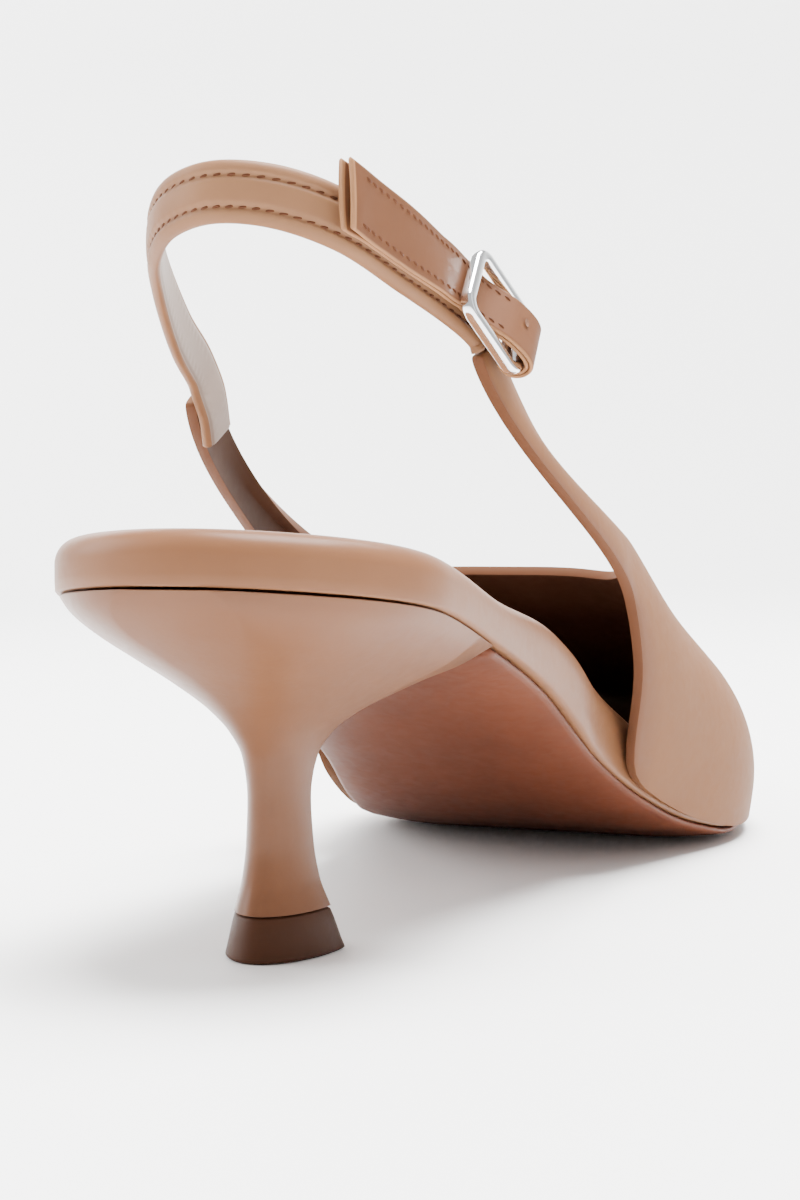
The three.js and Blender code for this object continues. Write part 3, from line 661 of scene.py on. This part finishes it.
def smooth_path(points, per_span=60):
    """A curve through the points whose knots lie apart by the root of their distance,
    given again as points at even distances."""
    points = np.asarray(points, float)
    points = np.concatenate([[2 * points[0] - points[1]], points, [2 * points[-1] - points[-2]]])
    knots = np.sqrt(np.linalg.norm(np.diff(points, axis=0), axis=1))
    t = np.linspace(0, 1, per_span, endpoint=False)[:, None]
    spans = []
    for i in range(1, len(points) - 2):
        p0, p1, p2, p3 = points[i - 1:i + 3]
        d0, d1, d2 = knots[i - 1:i + 2]
        leave = ((p1 - p0) / d0 - (p2 - p0) / (d0 + d1) + (p2 - p1) / d1) * d1
        arrive = ((p2 - p1) / d1 - (p3 - p1) / (d1 + d2) + (p3 - p2) / d2) * d1
        spans.append(hermite(p1, leave, p2, arrive, t))
    line = np.concatenate(spans + [points[-2:-1]])
    length = np.concatenate([[0], np.cumsum(np.linalg.norm(np.diff(line, axis=0), axis=1))])
    return line, length


def even(line, length, places):
    """Points and directions at shares of the line's length."""
    wanted = np.asarray(places) * length[-1]
    at = np.stack([np.interp(wanted, length, line[:, k]) for k in range(3)], axis=-1)
    step = 0.004 * length[-1]
    ahead, behind = (np.stack([np.interp(np.clip(wanted + d, 0, length[-1]), length, line[:, k])
                               for k in range(3)], axis=-1) for d in (step, -step))
    return at, unit(ahead - behind)


def square_to(across, run, face):
    """The width made square to the path, and the outward direction on the given side."""
    across = unit(across - (across * run).sum(axis=-1, keepdims=True) * run)
    return across, face * unit(np.cross(across, run))


def carry(at, run, across, wide, out, face=1):
    """Points of a profile carried along a path: wide lies along the width, out along the
    outward direction that stands square to width and path, on the side that face names."""
    across, outward = square_to(across, run, face)
    return (at[:, None] + wide[..., None] * across[:, None] + out[..., None] * outward[:, None])


def sling_line(lapped=False):
    """The sling's path: on from the end of one ear, round the heel to the other. Lapped, its
    inner end starts lower and lies on the inside of the ear that it is sewn to."""
    outer, inner = ([ear["end"] + gap * ear["run"] for gap in (CLEARANCE, 0.3 * STRAP_WIDTH)]
                    for ear in (OUTER_EAR, INNER_EAR))
    if lapped:
        across = square_to(np.array(INNER_EAR["across"]), INNER_EAR["run"], 1)[0]
        inward = np.cross(INNER_EAR["run"], across)
        inner = [INNER_EAR["end"] + along * INNER_EAR["run"] + lift * inward
                 for along, lift in LAP]
    return smooth_path([*inner, *SLING_PATH, *outer[::-1]])


def sling_across(t):
    """The direction of the sling's width: upright behind the heel, the ears' at its ends."""
    inner, outer = -np.array(INNER_EAR["across"]), -np.array(OUTER_EAR["across"])
    upright = np.array([0.0, 0.0, 1.0])
    t = np.asarray(t)[:, None]
    width = inner + (upright - inner) * smooth_step(0, 0.3, t)
    return width + (outer - width) * smooth_step(0.7, 1, t)


def sling_face(wide):
    """Height of the strap's outer face over its middle, by place across: a soft middle
    panel, a groove at each stitch row and a rolled edge outside it."""
    share = np.abs(wide) / (0.5 * STRAP_WIDTH)
    round_off = np.sqrt(np.clip(1 - np.clip((share - 0.62) / 0.38, 0, 1) ** 2.4, 0, 1))
    panel = 0.5 * STRAP_THICKNESS * round_off * (1 + 0.1 * np.cos(np.pi * share))
    groove = 0.42 * np.exp(-((np.abs(wide) - STITCH_ROW) / 0.42) ** 2)
    return panel - groove


def build_sling():
    """The padded sling: a section with rolled edges and two stitched grooves outside, and
    a flatter lining inside, carried round the heel. A low sine along the grooves puckers
    them."""
    line, length = sling_line(lapped=True)
    t = np.linspace(0, 1, 321)
    at, run = even(line, length, t)
    half = 0.5 * STRAP_WIDTH
    outer = -half * np.cos(np.linspace(0, np.pi, 49))
    inner = outer[::-1][1:-1]
    share = np.abs(inner) / half
    lining = -0.42 * STRAP_THICKNESS * np.sqrt(np.clip(1 - share ** 6, 0, 1))
    lining += 0.16 * np.exp(-((share - 0.78) / 0.05) ** 2)
    wide = np.concatenate([outer, inner])[None] + 0 * t[:, None]
    out = np.concatenate([sling_face(outer), lining])[None] + 0 * t[:, None]
    pucker = 0.05 * np.sin(t * length[-1] * 2 * np.pi / 1.7)[:, None]
    out = out - pucker * np.exp(-((np.abs(wide) - STITCH_ROW) / 0.7) ** 2)
    points = carry(at, run, sling_across(t), wide, out, face=-1)
    faces = grid_faces(*points.shape[:2], wrap=True)
    lined = np.concatenate([0 * outer, (share < 0.8) * 1.0])
    sling = add_piece("sling_padded", points, faces, "sling_strap", STRAP_LEATHER,
                      close=True, edge=np.tile(lined, len(t)))
    return sling


def stitch_row(name, at, run, across, out, pitch, face):
    """A row of thread stitches: each is a short bead on a parabola that dips into the leather
    at its ends, lies a little on the slant, and has a round section that shrinks there."""
    count = len(at)
    around, along = 6, 7
    s = np.linspace(-1, 1, along)
    thick = STITCH_RADIUS * np.sqrt(np.clip(1 - s ** 4, 0.02, 1))
    turn = np.linspace(0, 2 * np.pi, around, endpoint=False)
    across, outward = square_to(across, run, face)
    slant = 0.16 * s
    lift = 0.16 * (1 - s ** 2) - 0.12
    forward = 0.5 * pitch * 0.78 * s
    wide = slant[:, None] + thick[:, None] * np.cos(turn)
    deep = lift[:, None] + thick[:, None] * np.sin(turn)
    points = (at[:, None, None]
              + forward[None, :, None, None] * run[:, None, None]
              + wide[None, ..., None] * across[:, None, None]
              + deep[None, ..., None] * outward[:, None, None])
    points = points + out[:, None, None, None] * outward[:, None, None]
    one = grid_faces(along, around, wrap=True)
    faces = (one[None] + (np.arange(count) * along * around)[:, None, None]).reshape(-1, 4)
    return add_piece(name, points.reshape(-1, 3), faces, None, THREAD)


def build_sling_stitches():
    """Two rows along the sling's grooves."""
    line, length = sling_line(lapped=True)
    count = int(length[-1] / STITCH_PITCH)
    t = (np.arange(count) + 0.5) / count
    at, run = even(line, length, t)
    width = sling_across(t)
    level = float(sling_face(np.array([STITCH_ROW]))[0])
    for name, side in (("sling_stitches_upper", 1), ("sling_stitches_lower", -1)):
        across = square_to(width, run, 1)[0]
        stitch_row(name, at + side * STITCH_ROW * across, run, width, np.full(count, level),
                   STITCH_PITCH, -1)


# The buckle's own directions, the middle of its bars from its centre, and the tail's middle
# off the bars
BUCKLE_MIDDLE = PATH_SCALE * (0.955, 0.203, 1.735)
BUCKLE_ALONG = unit((0.27, 0.71, -0.65))
BUCKLE_UP = unit((-0.08, 0.69, 0.72))
BUCKLE_OUT = unit(np.cross(BUCKLE_ALONG, BUCKLE_UP))
BAR = 0.5 * (BUCKLE_LENGTH - BUCKLE_WIRE)
STEP = 0.5 * (BUCKLE_WIRE + TAIL_THICKNESS) + CLEARANCE


def on_buckle(along, up, out):
    """A place given along the buckle, up its bars and out from its plane."""
    return BUCKLE_MIDDLE + np.multiply.outer(along, BUCKLE_ALONG) + np.multiply.outer(
        up, BUCKLE_UP) + np.multiply.outer(out, BUCKLE_OUT)


def build_buckle():
    """A rounded rectangle of wire: a superellipse section turned round four quarter circles,
    so that its faces are slightly flattened."""
    half_long, half_high, corner = BAR, 0.5 * (BUCKLE_WIDTH - BUCKLE_WIRE), 2.2
    turn = np.concatenate([np.pi / 2 * (k + np.linspace(0, 1, 13)) for k in range(4)])
    quarter = np.repeat(np.pi / 2 * (np.arange(4) + 0.5), 13)
    along = np.sign(np.cos(quarter)) * (half_long - corner) + corner * np.cos(turn)
    up = np.sign(np.sin(quarter)) * (half_high - corner) + corner * np.sin(turn)
    roll = np.linspace(0, 2 * np.pi, 24, endpoint=False)
    wide = 0.5 * BUCKLE_WIRE * np.sign(np.cos(roll)) * np.abs(np.cos(roll)) ** 0.6
    deep = 0.5 * BUCKLE_WIRE * np.sign(np.sin(roll)) * np.abs(np.sin(roll)) ** 0.6
    points = on_buckle(along[:, None] + wide * np.cos(turn)[:, None],
                       up[:, None] + wide * np.sin(turn)[:, None], deep + 0 * turn[:, None])
    points = np.concatenate([points, points[:1]])
    faces = grid_faces(*points.shape[:2], wrap=True)
    return add_piece("buckle_frame", points, faces, "buckle", METAL)


def tail_line():
    """The tail's path: round the front bar, back under the rear bar, then free."""
    line, length = sling_line()
    end = even(line, length, [0.668])[0][0] + (3.9, -4.4, 2.4)
    near = on_buckle(-BAR, 0, -STEP)

    def free(share):
        return near + share * (end - near) + 4 * share * (1 - share) * np.array([0.5, -0.6, 0])

    return smooth_path([
        on_buckle(BAR - 1, 0, -STEP), on_buckle(BAR, 0, -STEP),
        on_buckle(BAR + 0.72 * STEP, 0, -0.72 * STEP), on_buckle(BAR + STEP, 0, 0),
        on_buckle(BAR + 0.72 * STEP, 0, 0.72 * STEP), on_buckle(BAR, 0, STEP),
        on_buckle(BAR - 4, 0, 0.72 * STEP), on_buckle(-BAR + 4, 0, -0.6 * STEP),
        near, free(0.2), free(0.5), free(0.8), end,
    ])


def tail_across(t):
    """The direction of the tail's width: the buckle's at the bars, upright at the free end."""
    t = np.asarray(t)[:, None]
    upright = np.array([0.0, 0.0, 1.0])
    return BUCKLE_UP + (upright - BUCKLE_UP) * smooth_step(0.45, 0.75, t)


def tail_away(t, gape):
    """How far a layer bends away at the free end."""
    return gape * smooth_step(0.8, 1, t) ** 1.5


def tail_slant(t, share):
    """Shift along the tail, by share of the half width: its free end is cut on the slant."""
    return smooth_step(0.86, 1, t) * (share - 1) * 1.6


def tail_layer(name, low, high, gape):
    """One leather layer of the tail between two depths, with rounded edges, carried along the
    tail's path. The layer bends away at the free end by the gape."""
    line, length = tail_line()
    t = np.linspace(0, 1, 241)
    half = 0.5 * TAIL_WIDTH
    section = -half * np.cos(np.linspace(0, np.pi, 25))
    section = np.sign(section) * half * np.abs(section / half) ** 0.9
    round_off = np.clip((half - np.abs(section)) / 0.25, 0, 1) ** 0.5
    middle, deep = 0.5 * (low + high), 0.5 * (high - low)
    wide = np.concatenate([section, section[::-1][1:-1]])[None] + 0 * t[:, None]
    out = np.concatenate([middle + deep * round_off, (middle - deep * round_off)[::-1][1:-1]])
    out = out[None] + tail_away(t, gape)[:, None] * (1 - 0.35 * (wide / half) ** 2)
    at, run = even(line, length, t)
    points = carry(at, run, tail_across(t), wide, out)
    points = points + tail_slant(t[:, None], wide / half)[..., None] * run[:, None]
    faces = grid_faces(*points.shape[:2], wrap=True)
    rim = np.repeat(smooth_step(half - 0.3, half - 0.05, np.abs(wide[0]))[None], len(t), axis=0)
    rim[-3:] = 1
    return add_piece(name, points, faces, "strap_tail", TAIL_LEATHER, close=True,
                     edge=rim)


def build_tail():
    """Two layers that gape at the free end, stitched along both edges."""
    half = 0.5 * TAIL_THICKNESS
    outer_gape, inner_gape = 0.55, -0.75
    tail_layer("tail_outer", TAIL_SLIT, half, outer_gape)
    tail_layer("tail_inner", -half, -TAIL_SLIT, inner_gape)
    line, length = tail_line()
    row = 0.5 * TAIL_WIDTH - TAIL_STITCH_INSET
    first, sewn = 0.24, 0.7
    count = int(length[-1] * sewn / TAIL_STITCH_PITCH)
    t = first + sewn * (np.arange(count) + 0.5) / count
    at, run = even(line, length, t)
    width = tail_across(t)
    across = square_to(width, run, 1)[0]
    for name, side in (("tail_stitches_upper", 1), ("tail_stitches_lower", -1)):
        slant = tail_slant(t, side * row / (0.5 * TAIL_WIDTH))
        spot = at + side * row * across + slant[:, None] * run
        level = half + tail_away(t, outer_gape) - TAIL_SLIT
        stitch_row(name, spot, run, width, level, TAIL_STITCH_PITCH, 1)


def build_hole():
    """The punched hole by the fold: a dark dished disc, its depth a paraboloid."""
    radius = np.linspace(0, 1, 5)[:, None]
    turn = np.linspace(0, 2 * np.pi, 24, endpoint=False)[None]
    level = STEP + 0.5 * TAIL_THICKNESS
    points = on_buckle(4.2 + 0.55 * radius * np.cos(turn), 1.0 + 0.75 * radius * np.sin(turn),
                       level - 0.1 + 0.14 * radius ** 2)
    add_piece("tail_hole", points, grid_faces(5, 24, wrap=True), None, LINING)


build_upper()
build_footbed()
build_outsole()
build_heel()
build_top_piece()
build_sling()
build_sling_stitches()
build_buckle()
build_tail()
build_hole()


# The floor, the light and the camera


def build_floor():
    """A pale floor that sweeps up into a backdrop far behind the shoe. It lies a little lower
    than the sole's flat part, since two faces at one height would show ragged."""
    reach, height, bend = 3.0, 2.6, 0.9
    turn = np.linspace(0, np.pi / 2, 24)
    y = np.concatenate([[-4.0, 0.0, reach - bend], reach - bend + bend * np.sin(turn)[1:], [reach]])
    z = np.concatenate([[0.0, 0.0, 0.0], bend * (1 - np.cos(turn))[1:], [height]])
    x = np.linspace(-5, 5, 3)
    points = np.stack(np.broadcast_arrays(x[None], y[:, None], z[:, None]), axis=-1)
    mesh = bpy.data.meshes.new("floor_sweep")
    mesh.from_pydata(points.reshape(-1, 3).tolist(), [], grid_faces(len(y), 3).tolist())
    floor = bpy.data.objects.new("floor_sweep", mesh)
    bpy.context.scene.collection.objects.link(floor)
    mesh.shade_smooth()
    material = bpy.data.materials.new("pale_floor")
    material.use_nodes = True
    shader = material.node_tree.nodes["Principled BSDF"]
    shader.inputs["Base Color"].default_value = (0.9, 0.9, 0.895, 1)
    shader.inputs["Roughness"].default_value = 0.6
    mesh.materials.append(material)
    turn_to_view = Matrix.Rotation(CAMERA_TURN, 4, "Z")
    mesh.transform(Matrix.Translation((0, 0, -FLOOR_GAP * MM)) @ turn_to_view)


def add_light(name, place, size, power, target=(0.0, -0.03, 0.05)):
    """A soft square light aimed at a point of the shoe."""
    lamp = bpy.data.lights.new(name, "AREA")
    lamp.size = size
    lamp.energy = power
    light = bpy.data.objects.new(name, lamp)
    light.location = place
    light.rotation_euler = (Vector(target) - Vector(place)).to_track_quat("-Z", "Y").to_euler()
    bpy.context.scene.collection.objects.link(light)


def build_light():
    """A large soft light overhead, one on each side, two on the backdrop, and an even pale
    surround."""
    world = bpy.data.worlds.new("studio")
    bpy.context.scene.world = world
    world.use_nodes = True
    sky = world.node_tree.nodes["Background"]
    sky.inputs["Color"].default_value = (0.9, 0.9, 0.9, 1)
    sky.inputs["Strength"].default_value = 0.95
    add_light("overhead", (0.15, 0.1, 1.5), 0.9, 133.0)
    for name, side in (("backdrop_left", -1.6), ("backdrop_right", 1.2)):
        add_light(name, (side - 0.6, 1.5, 2.3), 1.2, 170.0, target=(side - 1.1, 3.0, 0.7))
    add_light("left_side", (-1.1, -0.3, 0.55), 0.8, 17.0)
    add_light("right_side", (1.1, 0.3, 0.7), 0.8, 1.5)


def build_camera():
    """The photograph's camera, behind the heel and towards its outer side."""
    right = np.array([np.cos(CAMERA_TURN), np.sin(CAMERA_TURN), 0.0])
    ahead = np.array([-np.sin(CAMERA_TURN), np.cos(CAMERA_TURN), 0.0])
    place = np.array([*CAMERA_ANCHOR, 0.0]) - CAMERA_DISTANCE * ahead + CAMERA_SLIDE * right
    place[2] = CAMERA_HEIGHT
    look = ahead * np.cos(CAMERA_DIP) - np.array([0, 0, np.sin(CAMERA_DIP)])
    lens = bpy.data.cameras.new("photo_camera")
    lens.lens = CAMERA_LENS
    lens.sensor_width = 36.0
    lens.clip_start = 0.01
    camera = bpy.data.objects.new("photo_camera", lens)
    camera.location = place * MM + HOME
    camera.rotation_euler = Vector(look).to_track_quat("-Z", "Y").to_euler()
    bpy.context.scene.collection.objects.link(camera)
    bpy.context.scene.camera = camera


build_floor()
build_light()
build_camera()
